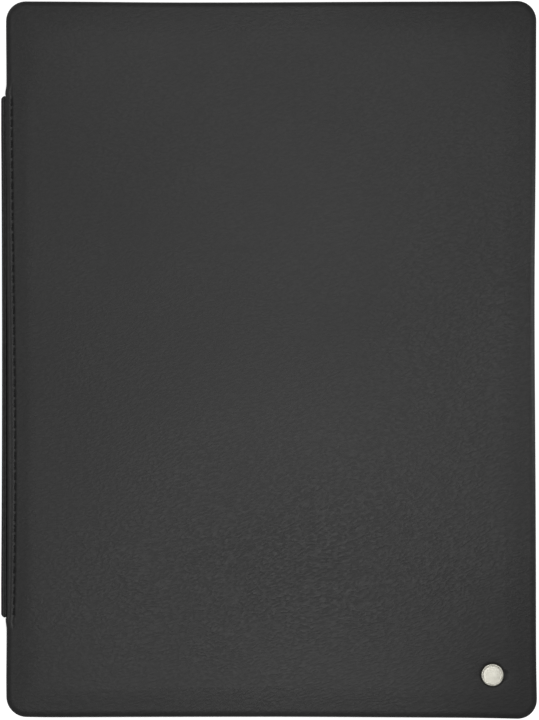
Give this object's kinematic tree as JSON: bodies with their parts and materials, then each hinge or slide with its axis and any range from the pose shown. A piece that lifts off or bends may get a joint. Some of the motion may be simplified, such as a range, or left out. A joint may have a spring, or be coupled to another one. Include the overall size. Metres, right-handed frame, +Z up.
{
  "type": "tablet case",
  "caption": "Black leather folio case for a tablet: padded cover with a round metal badge, sewn hinge strip that folds at both creases, and a moulded tray with corner lips.",
  "frame": {"origin": "middle of the closed case's outline, on the surface it lies on", "axes": "+X to the right of the closed cover, away from the hinge strip; +Y to the cover's top edge; +Z up out of the cover"},
  "size_m": [0.2232, 0.299, 0.0177],
  "materials": {
    "black_leather": "fine natural grain, satin",
    "shell_plastic": "fine moulded texture, matte",
    "microfibre": "brushed suede-like nap",
    "stiffener_board": "pressed grey-brown board",
    "padding": "closed-cell foam",
    "thread": "waxed black thread",
    "magnet": "nickel plate",
    "badge_metal": "pale champagne, satin brushed"
  },
  "bodies": {
    "rear_tray": {"rear_shell": "shell_plastic", "rear_leather": "black_leather", "rear_edge_band": "black_leather", "rear_lining": "microfibre", "rear_hinge_flap": "black_leather", "rear_stitching": "thread"},
    "spine": {"spine_leather": "black_leather", "spine_board": "stiffener_board", "spine_lining": "microfibre"},
    "cover": {"cover_leather": "black_leather", "cover_foam": "padding", "cover_board": "stiffener_board", "cover_lining": "microfibre", "cover_hinge_flap": "black_leather", "cover_stitching": "thread", "closure_magnets": "magnet", "sleep_magnet": "magnet", "badge_disc": "badge_metal", "badge_washer": "badge_metal"}
  },
  "joints": [
    {"name": "spine_fold", "type": "hinge", "parent": "rear_tray", "child": "spine", "pos_m": [-0.11065, 0, 0.0015], "axis": [0, -1, 0], "range_deg": [0, 180]},
    {"name": "cover_fold", "type": "hinge", "parent": "spine", "child": "cover", "pos_m": [-0.11065, 0, 0.0152], "axis": [0, -1, 0], "range_deg": [0, 180]}
  ]
}
